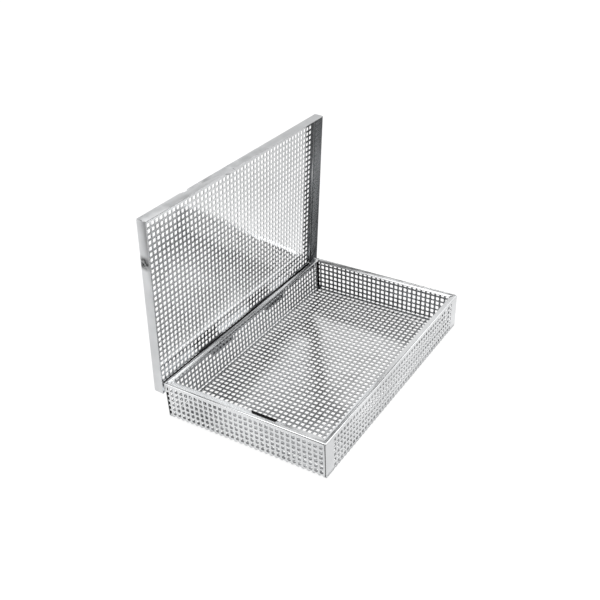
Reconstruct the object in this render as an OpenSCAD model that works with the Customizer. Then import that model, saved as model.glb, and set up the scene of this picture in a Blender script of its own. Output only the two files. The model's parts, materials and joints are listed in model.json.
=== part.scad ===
// Perforated autoclave basket with a hinged lid.
// Frame: origin at the centre of the base's underside, X along the length,
// -Y towards the front, +Y towards the hinges, +Z up.  Millimetres.

/* [Sheet] */
// Thickness of the steel sheet
sheet = 1; // [0.6:0.1:1.5]
// Outside radius of every fold
fold_r = 2; // [1.6:0.1:3]

/* [Basket] */
// Outside length of the basket
basket_l = 395; // [320:5:480]
// Outside width of the basket
basket_w = 250; // [210:5:300]
// Height of the basket to the top of its rim
basket_h = 56; // [54:1:90]

/* [Rim] */
// Width of the inward flange on the short sides
rim_end_w = 10.5; // [6:0.5:14]
// Width of the inward flange on the front
rim_front_w = 8; // [5:0.5:12]
// Width of the inward flange on the hinge side
rim_rear_w = 6; // [4:0.5:10]
// Diameter of the relief hole where two flanges meet
relief_d = 3; // [2:0.5:5]
// Length of the finger notch in the flange of the left short side
notch_l = 43; // [30:1:60]
// Depth of the finger notch
notch_d = 4.5; // [2:0.5:5]
// Distance of the finger notch from the basket's middle, towards the front
notch_off = 30; // [0:1:50]
// Width of the slit along the mitre between two flanges
mitre_gap = 0.4; // [0.3:0.1:1]

/* [Perforation] */
// Side of one square hole in the real sheet
hole = 5; // [4:0.5:6]
// Distance between holes in the real sheet
pitch = 8; // [7:0.5:10]
// Real holes that one opening of this model stands for, along each side
group = 3; // [2:1:5]
// Height above the base of the lowest full row of holes in the walls
row_z = 8; // [6:1:12]
// Plain border left at the ends of the front wall
plain_end = 18; // [10:1:30]
// Plain border left under the rim
plain_top = 5; // [3:0.5:10]
// Plain border left round the base
plain_base = 6; // [4:0.5:12]
// Plain border left round the lid's plate
plain_lid = 6.5; // [4:0.5:12]

/* [Corners] */
// Width of the end walls' flaps, tucked inside the long walls
flap_w = 12; // [8:1:20]

/* [Lid] */
// Clearance between the lid's skirts and the basket at the front and the ends
lid_gap = 1.5; // [0.8:0.1:3]
// Room between the back wall and the lid's rear skirt, for the hinges
hinge_room = 5.5; // [5:0.1:8]
// Gap between the closed lid's plate and the rim
lid_seat = 0.3; // [0.2:0.1:1]
// Depth of the skirts, with the plate
skirt_d = 15; // [10:0.5:20]
// Width of the open seams at the lid's corners
lid_seam = 0.6; // [0.3:0.1:1]
// How far the lid stands open
open_deg = 85.8; // [60:0.1:89]

/* [Pull tab and nick] */
// Length of the pull tab on the lid's front skirt
tab_l = 36; // [24:1:50]
// Depth of the pull tab below the skirt
tab_d = 4.5; // [3:0.5:8]
// Distance of the pull tab from the lid's middle, to the left
tab_off = 26; // [0:1:60]
// Diameter of the hole in the pull tab
tab_hole_d = 4; // [2:0.5:5]
// Length of the nick in the front fold
nick_l = 17; // [8:1:30]
// Depth of the nick
nick_d = 4; // [2:0.5:6]
// Distance of the nick's deep end from the lid's middle, to the left
nick_off = 105; // [60:1:150]

/* [Hinges] */
// Length of one hinge
hinge_l = 50; // [30:1:70]
// Distance of each hinge's middle from the basket's middle
hinge_x = 68; // [40:1:140]
// Gap round the knuckles, to the back wall and to the lid's rear skirt
knuckle_room = 0.3; // [0.2:0.05:0.5]
// Height of the rear skirt's free edge above the hinge axis
edge_rise = 0.3; // [0.2:0.1:1]
// Distance from the rim down to the top of the leaves
leaf_drop = 2; // [1.5:0.5:5]
// Thickness of the leaves
leaf_t = 1; // [0.6:0.1:1.2]
// Diameter of the pin
pin_d = 3; // [2:0.1:3.4]
// Clearance round the pin in the moving knuckles
pin_gap = 0.1; // [0.05:0.05:0.2]
// How far the pin stands out at each end of the hinge
pin_out = 0.8; // [0.2:0.1:2]
// Number of knuckles on one hinge
knuckles = 3; // [3:2:7]
// Gap between neighbouring knuckles
knuckle_gap = 0.4; // [0.3:0.1:1]
// Gap between the open lid's rear skirt and the stop under it
stop_gap = 0.3; // [0.2:0.1:0.6]
// Reach of the stop out from the back wall
stop_l = 13; // [8:1:14]

/* [Hidden] */
$fn = 48;

// Openings of the model: each stands for a square group of real holes
step = pitch * group;
opening = hole * group;

// Planes of the basket
half_l = basket_l / 2;
half_w = basket_w / 2;
wall_top = basket_h - fold_r;
base_in = [half_l - fold_r, half_w - fold_r];

// Planes of the closed lid
lid_l = basket_l + 2 * (lid_gap + sheet);
lid_front_y = -(half_w + lid_gap + sheet);
lid_rear_y = half_w + hinge_room + sheet;
lid_w = lid_rear_y - lid_front_y;
lid_mid_y = (lid_rear_y + lid_front_y) / 2;
lid_in = [lid_l / 2 - fold_r, lid_w / 2 - fold_r];
lid_top_z = basket_h + lid_seat + sheet;
skirt_z = lid_top_z - skirt_d;

// Hinges: the axis lies half way between the back wall and the rear skirt
axis_y = half_w + hinge_room / 2;
axis_z = skirt_z - edge_rise;
knuckle_r = hinge_room / 2 - knuckle_room;
knuckle_l = (hinge_l - (knuckles - 1) * knuckle_gap) / knuckles;
leaf_top = basket_h - leaf_drop;
stop_r = norm([hinge_room / 2 + sheet, edge_rise]) + stop_gap;
leaf_low = axis_z - stop_r - 1.3 * leaf_t;

// Openings that fit in a length with a plain border at each end
function count(length, border) =
    floor((floor((length - 2 * border - hole) / pitch) + 1) / group);

// Middles of n openings in a row about zero
function row(n) = [for (i = [0:n - 1]) (i - (n - 1) / 2) * step];

base_x = row(count(basket_l, plain_base));
base_y = row(count(basket_w, plain_base));
front_x = row(count(basket_l, plain_end));
lid_x = row(count(lid_l, plain_lid));
lid_y = row(count(lid_w, plain_lid));

// Heights of the openings in the walls
wall_n = floor((floor((basket_h - plain_top - row_z - hole / 2) / pitch) + 1) / group);
wall_z = [for (i = [0:wall_n - 1]) row_z + (group - 1) / 2 * pitch + i * step];

// Sheet between two corners, punched with openings, lying on the XY plane
module punched(low, high, xs, ys) {
    linear_extrude(sheet)
        difference() {
            polygon([low, [high.x, low.y], high, [low.x, high.y]]);
            for (x = xs, y = ys)
                translate([x - opening / 2, y - opening / 2])
                    square(opening);
        }
}

// Quarter ring of a fold between sheets that would meet at the origin
module fold_2d() {
    translate([fold_r, fold_r])
        difference() {
            circle(fold_r);
            circle(fold_r - sheet);
            translate([0, -2 * fold_r])
                square(4 * fold_r);
            translate([-2 * fold_r, 0])
                square(4 * fold_r);
        }
}

// Takes the outer face of a front, on the XZ plane, to one side of a box:
// 0 is the front, 1 the right, 2 the back and 3 the left
module side(n, out) {
    rotate([0, 0, n * 90])
        translate([0, -out, 0])
            children();
}

// Runs a section along one side, with its first axis inwards and its second
// one up.  The ends are cut on the mitre, with half of a slit left open.
module run(length, slit) {
    depth = rim_end_w + rim_front_w;
    intersection() {
        translate([-length / 2, 0, 0])
            rotate([90, 0, 90])
                linear_extrude(length)
                    children();
        translate([0, 0, -basket_h])
            linear_extrude(3 * basket_h)
                polygon([
                    [-(length - slit) / 2, 0], [(length - slit) / 2, 0],
                    [(length - slit) / 2 - depth, depth],
                    [-(length - slit) / 2 + depth, depth]
                ]);
    }
}

// One wall of the basket: bottom fold, punched sheet, top fold and flange.
// Each fold reaches one thickness into the sheet that it ends in.
module wall(length, flange_w, sheet_l, xs) {
    run(length, 0) {
        fold_2d();
        translate([fold_r, 0])
            square(sheet);
    }
    translate([0, sheet, 0])
        rotate([90, 0, 0])
            punched([-sheet_l / 2, fold_r], [sheet_l / 2, wall_top], xs, wall_z);
    run(length, mitre_gap) {
        translate([0, basket_h])
            mirror([0, 1])
                fold_2d();
        translate([fold_r, basket_h - sheet])
            square([flange_w - fold_r, sheet]);
    }
}

// Front left corner: the end wall folds over into a flap inside the front
module corner() {
    translate([-half_l, -half_w + sheet, fold_r + sheet / 2])
        linear_extrude(wall_top - fold_r - sheet) {
            fold_2d();
            translate([fold_r, 0])
                square([flap_w, sheet]);
            translate([0, fold_r])
                square(sheet);
        }
}

// Lug in the plane of the left end wall, round about the hinge axis
module lug() {
    translate([-half_l, 0, 0])
        rotate([90, 0, 90])
            linear_extrude(sheet) {
                translate([axis_y, axis_z])
                    circle(knuckle_r);
                translate([half_w - fold_r - sheet, axis_z])
                    square([axis_y + knuckle_r - half_w + fold_r + sheet,
                        basket_h - sheet - axis_z]);
            }
}

module basket_shell() {
    rim_x = half_l - rim_end_w;
    end_l = basket_w - 2 * (fold_r + sheet);
    color([0.78, 0.79, 0.80])
        difference() {
            union() {
                punched(-base_in, base_in, base_x, base_y);
                side(0, half_w)
                    wall(basket_l, rim_front_w, basket_l, front_x);
                side(1, half_l)
                    wall(basket_w, rim_end_w, end_l, base_y);
                side(2, half_w)
                    wall(basket_l, rim_rear_w, basket_l, base_x);
                side(3, half_l)
                    wall(basket_w, rim_end_w, end_l, base_y);
                for (mx = [0, 1], my = [0, 1])
                    mirror([mx, 0, 0])
                        mirror([0, my, 0])
                            corner();
                for (mx = [0, 1])
                    mirror([mx, 0, 0])
                        lug();
            }
            // Openings of the back wall go on through the flaps
            for (x = [base_x[0], -base_x[0]], z = wall_z)
                translate([x - opening / 2, half_w - 3 * sheet, z - opening / 2])
                    cube([opening, 4 * sheet, opening]);
            // Relief holes where the rims meet
            for (x = [-1, 1], y = [-1, 1])
                translate([x * (half_l - relief_d), y * (half_w - relief_d), wall_top])
                    cylinder(h = 2 * fold_r, d = relief_d);
            // Finger notch
            translate([-rim_x, -notch_off, wall_top])
                linear_extrude(2 * fold_r)
                    polygon([
                        [sheet, -notch_l / 2 - sheet], [sheet, notch_l / 2 + sheet],
                        [-notch_d, notch_l / 2 - notch_d], [-notch_d, -notch_l / 2 + notch_d]
                    ]);
        }
}

// Fold and skirt of one side of the closed lid
module skirt(length) {
    run(length, lid_seam)
        translate([0, lid_top_z])
            mirror([0, 1]) {
                fold_2d();
                translate([0, fold_r])
                    square([sheet, skirt_d - fold_r]);
                translate([fold_r, 0])
                    square(sheet);
            }
}

// Pull tab below the front skirt, drawn in the plane of the skirt
module tab_2d() {
    difference() {
        polygon([
            [-tab_l / 2, 0], [-tab_l / 2 + tab_d, -tab_d],
            [tab_l / 2 - tab_d, -tab_d], [tab_l / 2, 0],
            [tab_l / 2, sheet], [-tab_l / 2, sheet]
        ]);
        circle(d = tab_hole_d);
    }
}

// Turns what belongs to the lid from its closed place to where it stands
module opened() {
    translate([0, axis_y, axis_z])
        rotate([-open_deg, 0, 0])
            translate([0, -axis_y, -axis_z])
                children();
}

module lid_shell() {
    color([0.78, 0.79, 0.80])
        opened()
            difference() {
                union() {
                    translate([0, lid_mid_y, 0]) {
                        translate([0, 0, lid_top_z - sheet])
                            punched(-lid_in, lid_in, lid_x, lid_y);
                        for (n = [0, 2])
                            side(n, lid_w / 2)
                                skirt(lid_l);
                        for (n = [1, 3])
                            side(n, lid_l / 2)
                                skirt(lid_w);
                    }
                    translate([-tab_off, lid_front_y + sheet, skirt_z])
                        rotate([90, 0, 0])
                            linear_extrude(sheet)
                                tab_2d();
                }
                translate([-tab_off, lid_front_y + 2 * sheet, skirt_z])
                    rotate([90, 0, 0])
                        cylinder(h = 3 * sheet, d = tab_hole_d);
                // Nick across the front fold: in the skirt, then in the plate
                translate([-nick_off, lid_front_y + 2 * sheet, lid_top_z])
                    rotate([90, 0, 0])
                        linear_extrude(3 * sheet)
                            polygon([[0, sheet], [0, -nick_d], [-nick_l, 0], [-nick_l, sheet]]);
                translate([-nick_off, lid_front_y, lid_top_z - 2 * fold_r])
                    linear_extrude(3 * fold_r)
                        polygon([[0, -sheet], [0, nick_d], [-nick_l, 0], [-nick_l, -sheet]]);
            }
}

// Starts of the knuckles of the fixed leaf (first = 0) or the moving one (1)
function knuckle_x(first) =
    [for (i = [first:2:knuckles - 1]) i * (knuckle_l + knuckle_gap) - hinge_l / 2];

// Round bar along the hinge axis
module bar(x, length, r) {
    translate([x, axis_y, axis_z])
        rotate([0, 90, 0])
            cylinder(h = length, r = r);
}

// Room in a leaf for the knuckles of the other one
module knuckle_room_cut(first, y) {
    high = knuckle_r + knuckle_gap;
    for (x = knuckle_x(first))
        translate([x - knuckle_gap, y - leaf_t, axis_z - high])
            cube([knuckle_l + 2 * knuckle_gap, 3 * leaf_t, 2 * high]);
}

module hinge_leaf_fixed(x) {
    color([0.70, 0.71, 0.73])
        translate([x, 0, 0])
            difference() {
                union() {
                    difference() {
                        translate([-hinge_l / 2, half_w, leaf_low])
                            cube([hinge_l, leaf_t, leaf_top - leaf_low]);
                        knuckle_room_cut(1, half_w);
                    }
                    for (i = knuckle_x(0))
                        bar(i, knuckle_l, knuckle_r);
                    // Stop that the open lid's rear skirt comes to rest on
                    translate([-hinge_l / 2, axis_y, axis_z])
                        rotate([90 - open_deg, 0, 0])
                            translate([0, -hinge_room / 2 + 0.4 * leaf_t, -stop_r - leaf_t])
                                cube([hinge_l, stop_l, leaf_t]);
                }
                bar(-hinge_l, 2 * hinge_l, pin_d / 2);
            }
}

module hinge_leaf_moving(x) {
    leaf_y = lid_rear_y - sheet - leaf_t;
    color([0.70, 0.71, 0.73])
        opened()
            translate([x, 0, 0])
                difference() {
                    union() {
                        difference() {
                            translate([-hinge_l / 2, leaf_y, axis_z])
                                cube([hinge_l, leaf_t, leaf_top - axis_z]);
                            knuckle_room_cut(0, leaf_y);
                        }
                        for (i = knuckle_x(1))
                            bar(i, knuckle_l, knuckle_r);
                    }
                    bar(-hinge_l, 2 * hinge_l, pin_d / 2 + pin_gap);
                }
}

module hinge_pin(x) {
    color([0.62, 0.63, 0.66])
        bar(x - hinge_l / 2 - pin_out, hinge_l + 2 * pin_out, pin_d / 2);
}

module hinge_leaf_fixed_left() {
    hinge_leaf_fixed(-hinge_x);
}

module hinge_leaf_fixed_right() {
    hinge_leaf_fixed(hinge_x);
}

module hinge_leaf_moving_left() {
    hinge_leaf_moving(-hinge_x);
}

module hinge_leaf_moving_right() {
    hinge_leaf_moving(hinge_x);
}

module hinge_pin_left() {
    hinge_pin(-hinge_x);
}

module hinge_pin_right() {
    hinge_pin(hinge_x);
}

basket_shell();
lid_shell();
hinge_leaf_fixed_left();
hinge_leaf_fixed_right();
hinge_leaf_moving_left();
hinge_leaf_moving_right();
hinge_pin_left();
hinge_pin_right();
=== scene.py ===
"""Perforated steel basket with a hinged lid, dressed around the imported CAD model.

Metres, Z up, -Y is the front, the hinges are at +Y.  The two shells of the CAD
model carry a coarse pattern of openings.  Here they get the real sheet's fine
square holes, in the same places, widths and thicknesses.
"""
import json
import math

import bpy
import bmesh
from mathutils import Matrix, Vector


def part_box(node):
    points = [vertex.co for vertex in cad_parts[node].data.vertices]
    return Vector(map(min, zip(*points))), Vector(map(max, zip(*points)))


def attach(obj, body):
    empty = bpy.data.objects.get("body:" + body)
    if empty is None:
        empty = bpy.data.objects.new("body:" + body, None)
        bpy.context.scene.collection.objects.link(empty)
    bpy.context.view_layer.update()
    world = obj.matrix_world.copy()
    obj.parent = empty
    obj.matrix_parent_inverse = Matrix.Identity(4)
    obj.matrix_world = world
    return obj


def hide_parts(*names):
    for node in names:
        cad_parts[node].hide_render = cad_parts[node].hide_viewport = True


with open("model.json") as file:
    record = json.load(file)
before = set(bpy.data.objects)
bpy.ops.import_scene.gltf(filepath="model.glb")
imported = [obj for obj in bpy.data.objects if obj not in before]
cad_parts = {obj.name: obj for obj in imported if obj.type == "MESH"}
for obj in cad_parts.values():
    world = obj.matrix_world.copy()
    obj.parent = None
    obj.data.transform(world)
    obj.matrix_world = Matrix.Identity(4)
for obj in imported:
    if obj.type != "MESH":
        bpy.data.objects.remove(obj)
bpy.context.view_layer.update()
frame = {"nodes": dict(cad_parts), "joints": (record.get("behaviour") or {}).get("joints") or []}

MM = 0.001

# ---------------------------------------------------------------- sizes, mm
basket_lo, basket_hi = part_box("basket_shell")
SHEET = 1.0
FOLD = 2.0                            # outside radius of every fold
ARC_STEPS = 6                         # facets of a fold
HALF_L = -basket_lo.x / MM
HALF_W = -basket_lo.y / MM
RIM_Z = basket_hi.z / MM

PITCH = 8.0
HOLE = 5.0
HOLE_CORNER = 0.7                     # radius in the corners of a hole
ROLL = 0.3                            # rolled edge that the punch leaves round a hole

RIM_END, RIM_FRONT, RIM_REAR = 10.5, 8.0, 6.0     # widths of the rim's flanges
DROOP, DROOP_RIGHT = 8.0, 4.5         # their slopes in degrees, down inwards
MITRE = 0.2                           # half of the slit between two flanges
RELIEF = 3.0                          # relief holes: width, and distance from a corner
SLOT = HOLE / 2                       # how far the slots of a fold reach into a sheet
FLAP_W = 12.0
NOTCH_Y, NOTCH_L, NOTCH_D = -30.0, 43.0, 4.5      # middle, length and depth

joint = frame["joints"][0]
AXIS_Y = joint["pos_m"][1] / MM
AXIS_Z = joint["pos_m"][2] / MM
OPEN = math.radians(joint["range_deg"][1])

LID_GAP = 1.5                         # from the walls to the lid's skirts
LID_SEAT = 0.3                        # from the rim to the shut lid's plate
HINGE_ROOM = 5.5                      # from the back wall to the rear skirt
KNUCKLE_ROOM = 0.3                    # from a lug to the rear skirt
SKIRT = 15.0
SEAM = 0.3                            # half of the open seam between two skirts
EDGE = 4.5                            # plate that goes with each fold of the lid
NICK_X, NICK_L, NICK_D = -105.0, 17.0, 4.0        # right end, length and depth
TAB_X, TAB_L, TAB_D, TAB_HOLE = -26.0, 36.0, 4.5, 4.0     # middle, length, depth, hole
LID_TOP = RIM_Z + LID_SEAT + SHEET
LID_HALF_L = HALF_L + LID_GAP + SHEET
LID_FRONT = -(HALF_W + LID_GAP + SHEET)
LID_REAR = HALF_W + HINGE_ROOM + SHEET
LID_W = LID_REAR - LID_FRONT
LID_MID = (LID_REAR + LID_FRONT) / 2

EASE = 0.12                           # rounding of the edges of the small pieces
IDENTITY = Matrix.Identity(4)
UPRIGHT = Matrix.Rotation(math.pi / 2, 4, "X")


# ------------------------------------------------------------- mesh helpers
def centred(count):
    """Middles of a row of holes about zero."""
    return [(i - (count - 1) / 2) * PITCH for i in range(count)]


def new_object(name, verts, faces, place=IDENTITY):
    """Mesh object from points in millimetres, moved by place (also in mm)."""
    mesh = bpy.data.meshes.new(name)
    mesh.from_pydata([MM * (place @ Vector(v)) for v in verts], [], faces)
    mesh.validate()
    mesh.update()
    obj = bpy.data.objects.new(name, mesh)
    bpy.context.scene.collection.objects.link(obj)
    clean = bmesh.new()
    clean.from_mesh(mesh)
    bmesh.ops.recalc_face_normals(clean, faces=clean.faces)
    clean.to_mesh(mesh)
    clean.free()
    return obj


def hole_loop(cx, cy, grow):
    """Twelve points round one square hole with small round corners."""
    h, r = HOLE / 2 + grow, HOLE_CORNER + grow
    points = []
    for quarter, (sx, sy) in enumerate(((1, 1), (-1, 1), (-1, -1), (1, -1))):
        for step in range(3):
            angle = math.pi / 2 * (quarter + step / 2)
            points.append((cx + sx * (h - r) + r * math.cos(angle),
                           cy + sy * (h - r) + r * math.sin(angle)))
    return points


def panel(name, x_range, y_range, columns, rows, place):
    """Flat perforated sheet: its lower face lies on z = 0 before it is placed.

    The walls of the holes take the second material."""
    verts, faces, cut = [], [], []

    def lines(span, centres):
        marks = [span[0]] + [c - PITCH / 2 for c in centres]
        marks += [centres[-1] + PITCH / 2, span[1]]
        return marks

    xs, ys = lines(x_range, columns), lines(y_range, rows)
    nx, ny = len(xs), len(ys)
    for z in (0.0, SHEET):
        for y in ys:
            for x in xs:
                verts.append((x, y, z))

    def corner(i, j, top):
        return top * nx * ny + j * nx + i

    for j in range(ny - 1):
        for i in range(nx - 1):
            ring = [(i + 1, j + 1), (i, j + 1), (i, j), (i + 1, j)]
            if 1 <= i < nx - 2 and 1 <= j < ny - 2:
                loops = []
                for z, grow in ((0, ROLL), (ROLL, 0), (SHEET - ROLL, 0), (SHEET, ROLL)):
                    loops.append(len(verts))
                    verts.extend((x, y, z) for x, y in
                                 hole_loop(columns[i - 1], rows[j - 1], grow))
                for top, base in ((0, loops[0]), (1, loops[3])):
                    for k, (a, b) in enumerate(ring):
                        here = corner(a, b, top)
                        following = corner(*ring[(k + 1) % 4], top)
                        first = base + 3 * k
                        then = base + (3 * k + 3) % 12
                        faces.append((here, first, first + 1))
                        faces.append((here, first + 1, first + 2))
                        faces.append((here, first + 2, then, following))
                for level, (low, high) in enumerate(zip(loops, loops[1:])):
                    for k in range(12):
                        m = (k + 1) % 12
                        if level == 1:
                            cut.append(len(faces))
                        faces.append((low + k, low + m, high + m, high + k))
            else:
                for top in (0, 1):
                    faces.append([corner(a, b, top) for a, b in ring])
    for i in range(nx - 1):
        for j in (0, ny - 1):
            faces.append((corner(i, j, 0), corner(i + 1, j, 0),
                          corner(i + 1, j, 1), corner(i, j, 1)))
    for j in range(ny - 1):
        for i in (0, nx - 1):
            faces.append((corner(i, j, 0), corner(i, j + 1, 0),
                          corner(i, j + 1, 1), corner(i, j, 1)))
    obj = new_object(name, verts, faces, place)
    for number in cut:
        obj.data.polygons[number].material_index = 1
    return obj


def arc(cx, cy, radius, start, end, steps):
    """Points on a circle, from one angle to another, in degrees."""
    points = []
    for i in range(steps + 1):
        angle = math.radians(start + (end - start) * i / steps)
        points.append((cx + radius * math.cos(angle), cy + radius * math.sin(angle)))
    return points


def circle(cx, cy, radius):
    """Points round a full circle."""
    return arc(cx, cy, radius, 0, 345, 23)


def bars(section, spans, place, slit=0.0):
    """Prisms of one section (inwards, up) between positions along a side.

    The outermost ends are cut on the mitre, with a slit left open there."""
    verts, faces = [], []
    low_end, high_end = spans[0][0], spans[-1][1]
    count = len(section)
    for a, b in spans:
        base = len(verts)
        for end in (a, b):
            for inward, up in section:
                along = end
                if end == low_end:
                    along = end + inward + slit
                if end == high_end:
                    along = end - inward - slit
                verts.append(place @ Vector((along, inward, up)))
        faces.append(range(base, base + count))
        faces.append(range(base + count, base + 2 * count))
        for k in range(count):
            m = (k + 1) % count
            faces.append((base + k, base + m, base + count + m, base + count + k))
    return verts, faces


def joined(name, parts):
    """One object from several lists of points and faces."""
    verts, faces = [], []
    for v, f in parts:
        base = len(verts)
        verts.extend(v)
        faces.extend([base + k for k in face] for face in f)
    return new_object(name, verts, faces)


def side(n, out):
    """Place of a side of a box: 0 front, 1 right, 2 back, 3 left."""
    return Matrix.Rotation(n * math.pi / 2, 4, "Z") @ Matrix.Translation((0, -out, 0))


def between(ends, centres):
    """Spans of solid metal between the holes of a row."""
    spans, start = [], ends[0]
    for c in centres:
        spans.append((start, c - HOLE / 2))
        start = c + HOLE / 2
    spans.append((start, ends[1]))
    return spans


def prism(points, z0, z1):
    """Upright prism of a plan outline."""
    count = len(points)
    verts = [Vector((x, y, z)) for z in (z0, z1) for x, y in points]
    faces = [range(count), range(count, 2 * count)]
    for k in range(count):
        m = (k + 1) % count
        faces.append((k, m, count + m, count + k))
    return verts, faces


def bake(obj):
    """Applies the modifiers of an object to its mesh."""
    bpy.context.view_layer.update()
    graph = bpy.context.evaluated_depsgraph_get()
    mesh = bpy.data.meshes.new_from_object(obj.evaluated_get(graph))
    obj.modifiers.clear()
    old = obj.data
    obj.data = mesh
    bpy.data.meshes.remove(old)


def cut_away(obj, *parts):
    """Boolean difference with closed shapes (points and faces), applied at once."""
    cutter = joined("cutter", parts)
    modifier = obj.modifiers.new("cut", "BOOLEAN")
    modifier.operation = "DIFFERENCE"
    modifier.solver = "EXACT"
    modifier.object = cutter
    bake(obj)
    bpy.data.objects.remove(cutter)


def ease(obj):
    """Rounds the sharp edges of a piece a little, and shades its curves smooth."""
    modifier = obj.modifiers.new("ease", "BEVEL")
    modifier.width = EASE * MM
    modifier.segments = 2
    modifier.limit_method = "ANGLE"
    modifier.angle_limit = math.radians(40)
    bake(obj)
    for face in obj.data.polygons:
        face.use_smooth = True
    obj.data.set_sharp_from_angle(angle=math.radians(35))


# ------------------------------------------------------------------- basket
BASE_X, BASE_Y = centred(48), centred(30)
FRONT_X = centred(45)
CUT_Y = 122.5                         # column that the rear corner folds cut
END_Y = [CUT_Y - PITCH * k for k in range(30, 0, -1)]
WALL_ROWS = [PITCH * k for k in range(1, 7)]
WALL_Z = (SLOT, RIM_Z - FOLD)
CORNER_Z = (SLOT, RIM_Z - FOLD - SHEET / 2)
END_HALF = HALF_W - SHEET - FOLD
POST_Y = END_Y[-1] + PITCH / 2        # where the panels of the end walls stop
pieces = {"basket": [], "lid": []}
inward, outward = {}, {}              # the way that inner and outer faces look

low_fold = (arc(FOLD, FOLD, FOLD, 180, 270, ARC_STEPS) + [(SLOT, 0), (SLOT, SHEET)]
            + arc(FOLD, FOLD, FOLD - SHEET, 270, 180, ARC_STEPS)
            + [(SHEET, SLOT), (0, SLOT)])


def rim_section(width, droop):
    """Fold and flange at the top of a wall."""
    bend = RIM_Z - FOLD
    outer = arc(FOLD, bend, FOLD, 180, 90 - droop, ARC_STEPS)
    inner = arc(FOLD, bend, FOLD - SHEET, 90 - droop, 180, ARC_STEPS)
    fall = math.tan(math.radians(droop))

    def edge(start):
        return width, start[1] - fall * (width - start[0])

    return outer + [edge(outer[-1]), edge(inner[0])] + inner


def corner_ring(sx, sy, z0, z1):
    """Upright quarter ring where an end wall folds over behind a long wall."""
    ox, oy = HALF_L, HALF_W - SHEET
    outline = (arc(FOLD, FOLD, FOLD, 180, 270, ARC_STEPS)
               + arc(FOLD, FOLD, FOLD - SHEET, 270, 180, ARC_STEPS))
    return prism([(sx * (ox - x), sy * (oy - y)) for x, y in outline], z0, z1)


def slab(low, high):
    """Small upright block between two corners."""
    (x0, y0, z0), (x1, y1, z1) = low, high
    return prism([(x0, y0), (x1, y0), (x1, y1), (x0, y1)], z0, z1)


pieces["basket"].append(panel(
    "basket_base", (SLOT - HALF_L, HALF_L - SLOT), (SLOT - HALF_W, HALF_W - SLOT),
    BASE_X, BASE_Y, IDENTITY))

fold_parts = []
rims = {}
left_y = [-y for y in END_Y[::-1]]
# Side, how far out it is, half its length, ends of its panel, columns and rim
walls = {
    "front": (0, HALF_W, HALF_L, (-HALF_L, HALF_L), FRONT_X, rim_section(RIM_FRONT, DROOP)),
    "right": (1, HALF_L, HALF_W, (-END_HALF, POST_Y), END_Y, rim_section(RIM_END, DROOP_RIGHT)),
    "back": (2, HALF_W, HALF_L, (-HALF_L, HALF_L), BASE_X, rim_section(RIM_REAR, DROOP)),
    "left": (3, HALF_L, HALF_W, (-POST_Y, END_HALF), left_y, rim_section(RIM_END, DROOP)),
}
for word, (n, out, reach, ends, columns, section) in walls.items():
    place = side(n, out)
    pieces["basket"].append(panel(
        "basket_wall_" + word, ends, WALL_Z, columns, WALL_ROWS,
        place @ Matrix.Translation((0, SHEET, 0)) @ UPRIGHT))
    inward["basket_wall_" + word] = place.to_3x3() @ Vector((0, 1, 0))
    fold_parts.append(bars(low_fold, between((-reach, reach), columns), place))
    rims[word] = joined("basket_rim_" + word, [
        bars(section, [(-reach, reach)], place, MITRE)])
    pieces["basket"].append(rims[word])

# Corners: the end walls fold over behind the long walls
corner_parts = []
for sx in (-1, 1):
    wall_x = (sx * HALF_L, sx * (HALF_L - SHEET))
    corner_parts.append(corner_ring(sx, -1, *CORNER_Z))
    flap_x = (sx * (HALF_L - FOLD), sx * (HALF_L - FOLD - FLAP_W))
    corner_parts.append(slab((flap_x[0], -HALF_W + SHEET, CORNER_Z[0]),
                             (flap_x[1], -HALF_W + 2 * SHEET, CORNER_Z[1])))
    # the column of holes that the rear corner fold cuts through
    corner_parts.append(slab((wall_x[0], POST_Y, WALL_Z[0]),
                             (wall_x[1], CUT_Y - HOLE / 2, WALL_Z[1])))
    for z0, z1 in between(CORNER_Z, WALL_ROWS):
        corner_parts.append(slab((wall_x[0], CUT_Y - HOLE / 2, z0),
                                 (wall_x[1], END_HALF, z1)))
        corner_parts.append(corner_ring(sx, 1, z0, z1))
    pieces["basket"].append(panel(
        "basket_flap_left" if sx < 0 else "basket_flap_right",
        sorted(flap_x), CORNER_Z, [sx * BASE_X[-1]], WALL_ROWS,
        Matrix.Translation((0, HALF_W - SHEET, 0)) @ UPRIGHT))
    # lug in the plane of the end wall, round about the hinge axis
    knuckle = HINGE_ROOM / 2 - KNUCKLE_ROOM
    lug = ([(HALF_W - FOLD - SHEET, AXIS_Z), (HALF_W - FOLD - SHEET, RIM_Z - SHEET),
            (AXIS_Y + knuckle, RIM_Z - SHEET)]
           + arc(AXIS_Y, AXIS_Z, knuckle, 0, -180, 12))
    verts, faces = prism(lug, *sorted(wall_x))
    corner_parts.append(([Vector((v.z, v.x, v.y)) for v in verts], faces))
pieces["basket"].append(joined("basket_corners", corner_parts))
pieces["basket"].append(joined("basket_folds", fold_parts))

# Relief holes where the rims meet, and the finger notch in the left rim.  Each
# cutter reaches a little past the sheet that it cuts.
holes = [prism(circle(sx * (HALF_L - RELIEF), sy * (HALF_W - RELIEF), RELIEF / 2),
               RIM_Z - FOLD + 0.05, RIM_Z + 2)
         for sx in (-1, 1) for sy in (-1, 1)]
for rim in rims.values():
    cut_away(rim, *holes)
rim_x = RIM_END - HALF_L
notch_x = rim_x - NOTCH_D
notch_y = (NOTCH_Y - NOTCH_L / 2, NOTCH_Y + NOTCH_L / 2)
cut_away(rims["left"], prism(
    [(rim_x + 1, notch_y[0] - 1), (rim_x + 1, notch_y[1] + 1),
     (notch_x, notch_y[1] - NOTCH_D), (notch_x, notch_y[0] + NOTCH_D)],
    RIM_Z - FOLD, RIM_Z + 2))

# Painted shade: a black lip in the notch, for the shade behind it, and two black strips for the
# shade in the joint of each corner
LIP_W, LIP_T, LIP_Z = 7.5, 0.6, RIM_Z - 2.4
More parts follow.
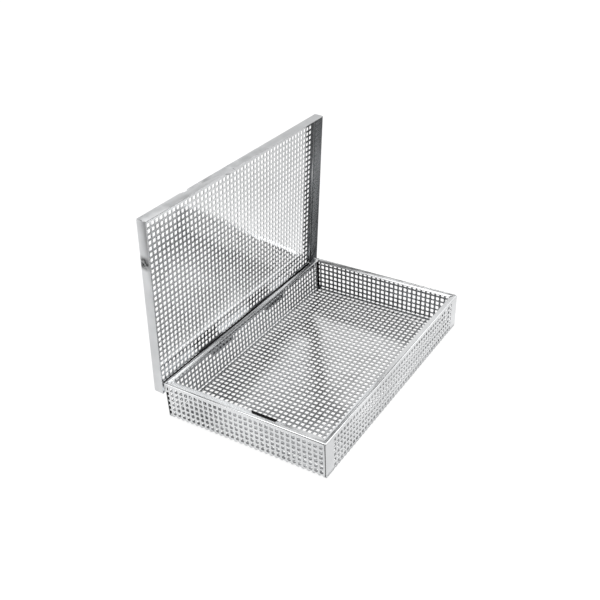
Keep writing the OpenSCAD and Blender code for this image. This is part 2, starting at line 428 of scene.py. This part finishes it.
# Spans of the strips, in from the outside of the end wall and of the long wall
STRIPS = ((0.1, 1.1), (SHEET, SHEET + 1.2)), ((0.9, 2.6), (1.9, 3.6))
painted_shade_parts = [slab((notch_x - 1, notch_y[0] + NOTCH_D, LIP_Z),
                   (notch_x - 1 + LIP_W, notch_y[1], LIP_Z + LIP_T))]
for sx in (-1, 1):
    for sy in (-1, 1):
        for (x0, x1), (y0, y1) in STRIPS:
            painted_shade_parts.append(slab(
                (sx * (HALF_L - x0), sy * (HALF_W - y1), CORNER_Z[0]),
                (sx * (HALF_L - x1), sy * (HALF_W - y0), CORNER_Z[1])))
pieces["basket"].append(joined("basket_painted_shade", painted_shade_parts))

# ---------------------------------------------------------------------- lid
OPENED = (Matrix.Translation((0, AXIS_Y, AXIS_Z)) @ Matrix.Rotation(-OPEN, 4, "X")
          @ Matrix.Translation((0, -AXIS_Y, -AXIS_Z)))
lid_place = OPENED @ Matrix.Translation((0, LID_MID, 0))
pieces["lid"].append(panel(
    "lid_plate", (EDGE - LID_HALF_L, LID_HALF_L - EDGE), (EDGE - LID_W / 2, LID_W / 2 - EDGE),
    centred(48), centred(31), lid_place @ Matrix.Translation((0, 0, LID_TOP - SHEET))))
bend_z = LID_TOP - FOLD
skirt_z = LID_TOP - SKIRT
lid_section = ([(0, skirt_z), (0, bend_z)]
               + arc(FOLD, bend_z, FOLD, 180, 90, ARC_STEPS)[1:]
               + [(EDGE, LID_TOP), (EDGE, LID_TOP - SHEET)]
               + arc(FOLD, bend_z, FOLD - SHEET, 90, 180, ARC_STEPS)
               + [(SHEET, skirt_z)])
skirts = {}
for word, n, out, reach in (("front", 0, LID_W / 2, LID_HALF_L),
                            ("right", 1, LID_HALF_L, LID_W / 2),
                            ("back", 2, LID_W / 2, LID_HALF_L),
                            ("left", 3, LID_HALF_L, LID_W / 2)):
    place = lid_place @ side(n, out)
    skirts[word] = joined("lid_skirt_" + word, [
        bars(lid_section, [(-reach, reach)], place, SEAM)])
    pieces["lid"].append(skirts[word])
    outward["lid_skirt_" + word] = place.to_3x3() @ Vector((0, -1, 0))
# the right skirt's inner face also takes the darker copy: painted shade
inward["lid_skirt_right"] = -outward["lid_skirt_right"]


def opened(verts_faces):
    """Moves what is drawn on the shut lid to where the open lid has it."""
    verts, faces = verts_faces
    return [OPENED @ Vector(v) for v in verts], faces


def turned(verts_faces):
    """Stands a plan outline up: its y becomes z, its z becomes -y."""
    verts, faces = verts_faces
    return [Vector((v.x, -v.z, v.y)) for v in verts], faces


# Nick across the front fold: one cut through the skirt and one through the plate
nick_skirt = turned(prism(
    [(NICK_X, LID_TOP + 1), (NICK_X, LID_TOP - NICK_D),
     (NICK_X - NICK_L, LID_TOP), (NICK_X - NICK_L, LID_TOP + 1)],
    -LID_FRONT - 2, -LID_FRONT + 1))
nick_plate = prism(
    [(NICK_X, LID_FRONT - 1), (NICK_X, LID_FRONT + NICK_D),
     (NICK_X - NICK_L, LID_FRONT), (NICK_X - NICK_L, LID_FRONT - 1)],
    LID_TOP - 4, LID_TOP + 2)
cut_away(skirts["front"], opened(nick_skirt))
cut_away(skirts["front"], opened(nick_plate))

# Pull tab on the front skirt, with a hole through both
tab_x = (TAB_X - TAB_L / 2, TAB_X + TAB_L / 2)
tab = joined("lid_pull_tab", [opened(turned(prism(
    [(tab_x[0], skirt_z), (tab_x[0] + TAB_D, skirt_z - TAB_D),
     (tab_x[1] - TAB_D, skirt_z - TAB_D), (tab_x[1], skirt_z)],
    -LID_FRONT - SHEET, -LID_FRONT)))])
drill = opened(turned(prism(circle(TAB_X, skirt_z, TAB_HOLE / 2),
                            -LID_FRONT - 3, -LID_FRONT + 3)))
cut_away(tab, drill)
cut_away(skirts["front"], drill)
pieces["lid"].append(tab)

# Shade in the crease of the rear fold, inside the lid
CREASE_W, CREASE_T = 1.4, 0.8
crease_x = LID_HALF_L - SHEET - 1
pieces["lid"].append(joined("lid_painted_shade", [opened(slab(
    (-crease_x, LID_REAR - SHEET - CREASE_W, LID_TOP - SHEET - CREASE_T),
    (crease_x, LID_REAR - SHEET, LID_TOP - SHEET)))]))


# ---------------------------------------------------------------- materials
class Graph:
    """Short ways to add nodes to the tree of a material or of the world."""

    def __init__(self, tree):
        self.tree = tree

    def add(self, kind, inputs=(), **settings):
        """A new node, with its settings and its inputs, plain or linked."""
        node = self.tree.nodes.new("ShaderNode" + kind)
        for key, value in settings.items():
            setattr(node, key, value)
        for key, value in dict(inputs).items():
            self.put(value, node.inputs[key])
        return node

    def put(self, value, socket):
        """Links a socket to an input, or sets the input to a plain value."""
        if isinstance(value, bpy.types.NodeSocket):
            self.tree.links.new(value, socket)
        else:
            socket.default_value = value

    def maths(self, operation, *values):
        """Result of one operation on numbers, plain or linked."""
        node = self.add("Math", operation=operation)
        for number, value in enumerate(values):
            self.put(value, node.inputs[number])
        return node.outputs[0]

    def dot(self, place, direction):
        """Dot product of a linked vector and a fixed direction."""
        node = self.add("VectorMath", {0: place, 1: direction}, operation="DOT_PRODUCT")
        return node.outputs["Value"]

    def spread(self, value, low, high, out_low, out_high, kind="LINEAR"):
        """Takes values from low to high to those from out_low to out_high."""
        return self.add("MapRange", {
            "Value": value, "From Min": low, "From Max": high,
            "To Min": out_low, "To Max": out_high}, interpolation_type=kind).outputs["Result"]


def steel(name, colour, rough, wave, bows=(), dark_spot=None):
    """Electropolished stainless: nearly a mirror, over a faintly wavy sheet.

    Each bow makes the sheet look as if it rose a little towards two folds: axis,
    middle, half the way between the folds, width of the rising part (all in mm) and
    its height.  The last argument darkens the colour towards black, in patches,
    about one place, in metres."""
    material = bpy.data.materials.new(name)
    material.use_nodes = True
    shader = material.node_tree.nodes["Principled BSDF"]
    graph = Graph(material.node_tree)
    where = graph.add("TexCoord").outputs["Object"]

    def noise(scale, detail):
        node = graph.add("TexNoise", {"Vector": where, "Scale": scale, "Detail": detail})
        return node.outputs["Fac"]

    tint = graph.add("Mix", {"Factor": graph.spread(noise(14, 3), 0.35, 0.65, 0, 1)},
                     data_type="RGBA")
    tint.inputs["A"].default_value = (*[0.9 * v for v in colour], 1)
    tint.inputs["B"].default_value = (*[min(1, 1.04 * v) for v in colour], 1)
    skin = tint.outputs["Result"]
    if dark_spot is not None:
        away = graph.add("VectorMath", {0: where, 1: dark_spot}, operation="DISTANCE")
        spot = graph.spread(away.outputs["Value"], 0.003, 0.013, 1, 0, "SMOOTHSTEP")
        patchy = graph.spread(noise(160, 3), 0.3, 0.55, 0.3, 1)
        dull = graph.add("Mix", {"Factor": graph.maths("MULTIPLY", spot, patchy)},
                         data_type="RGBA")
        graph.put(skin, dull.inputs["A"])
        dull.inputs["B"].default_value = (0.0, 0.0, 0.0, 1)
        skin = dull.outputs["Result"]
    height = graph.maths("MULTIPLY", noise(22, 2), wave)
    for axis, middle, half, width, most in bows:
        along = graph.add("SeparateXYZ", {"Vector": where}).outputs[axis]
        reach = graph.maths("ABSOLUTE", graph.maths("SUBTRACT", along, middle * MM))
        rise = graph.spread(reach, (half - width) * MM, half * MM, 0, most, "SMOOTHSTEP")
        height = graph.maths("ADD", height, rise)
    wavy = graph.add("Bump", {"Strength": 1.0, "Distance": 0.002, "Height": height})
    fine = graph.add("Bump", {"Strength": 0.06, "Distance": 0.0002,
                              "Height": noise(900, 2), "Normal": wavy.outputs["Normal"]})
    graph.put(1.0, shader.inputs["Metallic"])
    graph.put(skin, shader.inputs["Base Color"])
    graph.put(graph.spread(noise(60, 4), 0.3, 0.7, rough * 0.75, rough * 1.35),
              shader.inputs["Roughness"])
    graph.put(fine.outputs["Normal"], shader.inputs["Normal"])
    return material


sheet_steel = steel("sheet_steel", (0.80, 0.81, 0.82), 0.08, wave=0.2)
# painted shade: the base is a darker copy of the sheet, for the shade inside the basket
shaded_base_steel = steel("shaded_base_steel", (0.73, 0.74, 0.75), 0.18, wave=0.25,
                   bows=[("X", 0, HALF_L, 70, 1.1), ("Y", 0, HALF_W, 70, 1.9)])
lid_steel = steel("lid_steel", (0.80, 0.81, 0.82), 0.08, wave=0.2,
                  bows=[("Z", RIM_Z + LID_W / 2, LID_W / 2, 30, 0.8)])
# painted shade: a much darker copy of the sheet, for the inner faces of the walls and of the
# lid's right skirt
shaded_inner_steel = steel("shaded_inner_steel", (0.41, 0.42, 0.43), 0.2, wave=0.25)
# painted highlight: a lighter copy of the sheet, for the bright light on the rim's flanges
lit_rim_steel = steel("lit_rim_steel", (0.93, 0.94, 0.95), 0.2, wave=0.1)
satin_steel = steel("satin_steel", (0.75, 0.76, 0.77), 0.36, wave=0.15,
                    dark_spot=Vector((-0.2, 0.122, 0.239)))
hinge_steel = steel("hinge_steel", (0.34, 0.34, 0.35), 0.22, wave=0.15)
shade = steel("shade", (0.02, 0.02, 0.02), 0.6, wave=0.1)
# the walls of the holes: a rougher sheared face, darkened nearly to black with painted shade
shaded_cut_steel = steel("shaded_cut_steel", (0.14, 0.14, 0.15), 0.45, wave=0.1)
pin_steel = steel("pin_steel", (0.55, 0.56, 0.58), 0.2, wave=0.1)

SHELL = {"basket": "basket_shell", "lid": "lid_shell"}
MAIN_STEEL = {"basket_base": shaded_base_steel, "lid_plate": lid_steel,
              "basket_painted_shade": shade, "lid_painted_shade": shade}
MAIN_STEEL.update((rim.name, lit_rim_steel) for rim in rims.values())
MOST_TO_EASE = 5000                   # faces: the large panels have rolled holes instead


def repaint(obj, facing, least, number):
    """Gives another material to the faces that look the way that facing names."""
    if obj.name in facing:
        for face in obj.data.polygons:
            if face.normal.dot(facing[obj.name]) > least:
                face.material_index = number


for body, objects in pieces.items():
    for obj in objects:
        obj.data.materials.append(MAIN_STEEL.get(obj.name, sheet_steel))
        obj.data.materials.append(satin_steel if obj.name in outward else shaded_cut_steel)
        if len(obj.data.polygons) < MOST_TO_EASE:
            ease(obj)
        # third slot: the darker copy of the sheet for inner faces, painted shade
        obj.data.materials.append(shaded_inner_steel)
        repaint(obj, outward, 0.7, 1)
        repaint(obj, inward, 0.9, 2)
        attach(obj, body)
        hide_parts(SHELL[body])
for name, obj in frame["nodes"].items():
    if name.startswith("hinge"):
        obj.data.materials.clear()
        obj.data.materials.append(pin_steel if "pin" in name else hinge_steel)

# -------------------------------------------------------------------- stage
# Light of the studio at each height: low bright walls, a dark band, a bright top.
# The height is the sine of the angle above the floor, and the bright walls reach
# higher at the back right.
SWEEP = [(0.0, 1.4), (0.52, 1.3), (0.57, 0.1), (0.75, 0.1), (0.88, 2.2), (1.0, 2.6)]
TILT, RAISE = Vector((-0.129, -0.075, 1.0)), 0.045
# The room is dark to one side, and dimmer than the rest straight across from it
DARK_SIDE = Vector((-0.8, -0.5, 0.2)).normalized()
DARK_LEVEL, FAR_LEVEL = 0.06, 0.55
# Floor that the basket shades, in metres: half its length, middle and half width
SHADED_X, SHADED_MID, SHADED_Y = 0.2, 0.011, 0.139
FLOOR_HALF = 4000


def white_floor():
    """Matt floor that the camera, mirrors and glass see as white, with a shadow."""
    material = bpy.data.materials.new("floor_paint")
    material.use_nodes = True
    material.node_tree.nodes.clear()
    graph = Graph(material.node_tree)
    path = graph.add("LightPath").outputs
    # mirrors see the floor under the basket as the basket shades it
    place = graph.add("NewGeometry").outputs["Position"]
    spot = graph.add("SeparateXYZ", {"Vector": place}).outputs
    beside_x = graph.maths("GREATER_THAN", graph.maths("ABSOLUTE", spot["X"]), SHADED_X)
    from_middle = graph.maths("ABSOLUTE", graph.maths("SUBTRACT", spot["Y"], SHADED_MID))
    beside_y = graph.maths("GREATER_THAN", from_middle, SHADED_Y)
    beside = graph.maths("MAXIMUM", beside_x, beside_y)
    shown = graph.maths("MULTIPLY", path["Is Glossy Ray"], beside)
    shown = graph.maths("MAXIMUM", shown, path["Is Camera Ray"])
    shown = graph.maths("MAXIMUM", shown, path["Is Transmission Ray"])
    matt = graph.add("BsdfDiffuse", {"Color": (0.9, 0.9, 0.9, 1)})
    faint = graph.add("BsdfDiffuse", {"Color": (0.2, 0.2, 0.2, 1)})
    # in mirrors the floor is greyer, most of all to the right, and it gets dark
    # out towards the dark side
    dark = graph.spread(graph.dot(place, (-0.6, -0.8, 0)), 0.2, 0.35, 1.0, 0.05, "SMOOTHSTEP")
    grey = graph.spread(graph.dot(place, (0.89, -0.45, 0)), 0.25, 0.45, 0.76, 0.55)
    mirrored = graph.maths("MULTIPLY", dark, grey)
    level = graph.add("Mix", {"Factor": path["Is Camera Ray"], "A": mirrored, "B": 0.9})
    glow = graph.add("Emission", {"Strength": level.outputs["Result"]})
    white = graph.add("AddShader", {0: glow.outputs[0], 1: faint.outputs[0]})
    mix = graph.add("MixShader", {0: shown, 1: matt.outputs[0], 2: white.outputs[0]})
    graph.add("OutputMaterial", {"Surface": mix.outputs[0]})
    return material


floor = new_object("floor", [(FLOOR_HALF * x, FLOOR_HALF * y, 0) for x, y in
                             ((-1, -1), (1, -1), (1, 1), (-1, 1))], [(0, 1, 2, 3)])
floor.location.z = -0.0002            # 0.2 mm under the base
floor.data.materials.append(white_floor())

scene = bpy.context.scene
world = bpy.data.worlds.new("studio")
scene.world = world
world.use_nodes = True


def studio(graph):
    """Strength of the light from each direction, at least 1 for the camera itself."""
    where = graph.add("TexCoord").outputs["Generated"]
    height = graph.maths("ADD", graph.dot(where, TILT), RAISE)
    ramp = graph.add("ValToRGB", {"Fac": height})
    stops = ramp.color_ramp.elements
    while len(stops) < len(SWEEP):
        stops.new(0.5)
    for stop, (level, light) in zip(stops, SWEEP):
        stop.position = level
        stop.color = (light, light, light, 1)
    across = graph.dot(where, DARK_SIDE)
    near = graph.spread(across, 0.2, 0.75, 1.0, DARK_LEVEL, "SMOOTHSTEP")
    far = graph.spread(across, -0.75, -0.45, FAR_LEVEL, 1.0)
    seen = graph.maths("MULTIPLY", ramp.outputs["Color"], graph.maths("MULTIPLY", near, far))
    camera_ray = graph.add("LightPath").outputs["Is Camera Ray"]
    return graph.maths("MAXIMUM", seen, camera_ray)


world_graph = Graph(world.node_tree)
background = world.node_tree.nodes["Background"]
background.inputs["Color"].default_value = (1, 1, 1, 1)
world_graph.put(studio(world_graph), background.inputs["Strength"])


# ------------------------------------------------------------------- camera
# It looks down from the front left.  The shifts move the basket in the picture.
EYE = Vector((-0.8237, -0.5092, 0.7092))
LOOK = Vector((0.6869, 0.4345, -0.5826)).normalized()
RIGHT = Vector((0.5177, -0.8551, -0.0273)).normalized()
UP = RIGHT.cross(LOOK).normalized()
RIGHT = LOOK.cross(UP)
camera_data = bpy.data.cameras.new("camera")
camera_data.sensor_width = 36
camera_data.lens = 48.954
camera_data.shift_x = -0.0245
camera_data.shift_y = 0.099
camera_data.clip_start = 0.01
camera_data.clip_end = 50
camera = bpy.data.objects.new("camera", camera_data)
scene.collection.objects.link(camera)
camera.matrix_world = Matrix((
    (RIGHT.x, UP.x, -LOOK.x, EYE.x), (RIGHT.y, UP.y, -LOOK.y, EYE.y),
    (RIGHT.z, UP.z, -LOOK.z, EYE.z), (0, 0, 0, 1)))
scene.camera = camera
scene.view_settings.view_transform = "Standard"
